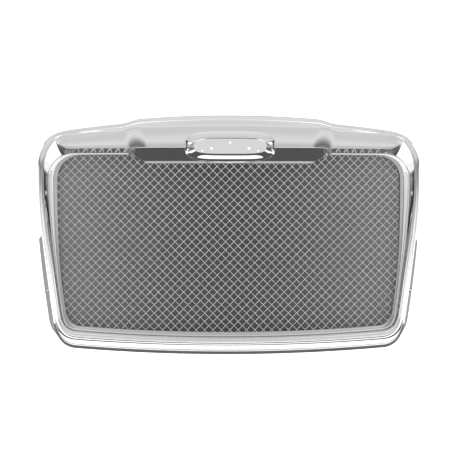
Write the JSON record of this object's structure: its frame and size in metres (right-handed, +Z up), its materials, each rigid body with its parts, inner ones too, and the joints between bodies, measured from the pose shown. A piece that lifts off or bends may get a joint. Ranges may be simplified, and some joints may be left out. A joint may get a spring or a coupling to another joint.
{
  "type": "front grille",
  "caption": "Bowed truck front grille: chromed surround with shouldered top bar, badge holder, woven wire panel, clipped-in insect screen and steel hood brackets.",
  "frame": {"origin": "centre of the rear mounting plane, where the feet of the hood brackets rest, on the plane of symmetry at mid height", "axes": "+X across the grille to its left-hand side as seen from the truck's seat, to the right as seen from the front; +Y to the rear, into the hood; +Z up; the grille faces -Y"},
  "size_m": [1.149, 0.1579, 0.7039],
  "materials": {
    "chrome_moulding": "bright chrome plate on a moulded body, mirror smooth",
    "frame_chrome": "bright plated sheet",
    "wire_chrome": "plated woven wire, slightly soft reflections",
    "screen_cloth": "fine woven insect screen, coated, dull dark grey",
    "frame_plastic": "black moulded plastic with a fine grain",
    "spring_steel": "bright spring steel with fine rolling lines",
    "bracket_zinc": "zinc-plated pressed sheet",
    "fastener_zinc": "zinc-plated, slightly dull"
  },
  "bodies": {
    "root": {"badge_bezel": "chrome_moulding", "badge_pad": "chrome_moulding", "badge_push_nut_1": "spring_steel", "badge_push_nut_2": "spring_steel", "badge_push_nut_3": "spring_steel", "badge_push_nut_4": "spring_steel", "bracket_screw_lower_left_1": "fastener_zinc", "bracket_screw_lower_left_2": "fastener_zinc", "bracket_screw_lower_right_1": "fastener_zinc", "bracket_screw_lower_right_2": "fastener_zinc", "bracket_screw_middle_left_1": "fastener_zinc", "bracket_screw_middle_left_2": "fastener_zinc", "bracket_screw_middle_right_1": "fastener_zinc", "bracket_screw_middle_right_2": "fastener_zinc", "bracket_screw_upper_left_1": "fastener_zinc", "bracket_screw_upper_left_2": "fastener_zinc", "bracket_screw_upper_right_1": "fastener_zinc", "bracket_screw_upper_right_2": "fastener_zinc", "bug_screen": "screen_cloth", "bug_screen_frame": "frame_plastic", "clip_screw_01": "fastener_zinc", "clip_screw_02": "fastener_zinc", "clip_screw_03": "fastener_zinc", "clip_screw_04": "fastener_zinc", "clip_screw_05": "fastener_zinc", "clip_screw_06": "fastener_zinc", "clip_screw_07": "fastener_zinc", "clip_screw_08": "fastener_zinc", "clip_screw_09": "fastener_zinc", "clip_screw_10": "fastener_zinc", "hood_bracket_lower_left": "bracket_zinc", "hood_bracket_lower_right": "bracket_zinc", "hood_bracket_middle_left": "bracket_zinc", "hood_bracket_middle_right": "bracket_zinc", "hood_bracket_upper_left": "bracket_zinc", "hood_bracket_upper_right": "bracket_zinc", "hood_nut_lower_left": "fastener_zinc", "hood_nut_lower_right": "fastener_zinc", "hood_nut_middle_left": "fastener_zinc", "hood_nut_middle_right": "fastener_zinc", "hood_nut_upper_left": "fastener_zinc", "hood_nut_upper_right": "fastener_zinc", "mesh_frame": "frame_chrome", "mesh_front_wires": "wire_chrome", "mesh_rear_wires": "wire_chrome", "retainer_clip_01": "spring_steel", "retainer_clip_02": "spring_steel", "retainer_clip_03": "spring_steel", "retainer_clip_04": "spring_steel", "retainer_clip_05": "spring_steel", "retainer_clip_06": "spring_steel", "retainer_clip_07": "spring_steel", "retainer_clip_08": "spring_steel", "retainer_clip_09": "spring_steel", "retainer_clip_10": "spring_steel", "surround_shell": "chrome_moulding"}
  },
  "joints": []
}
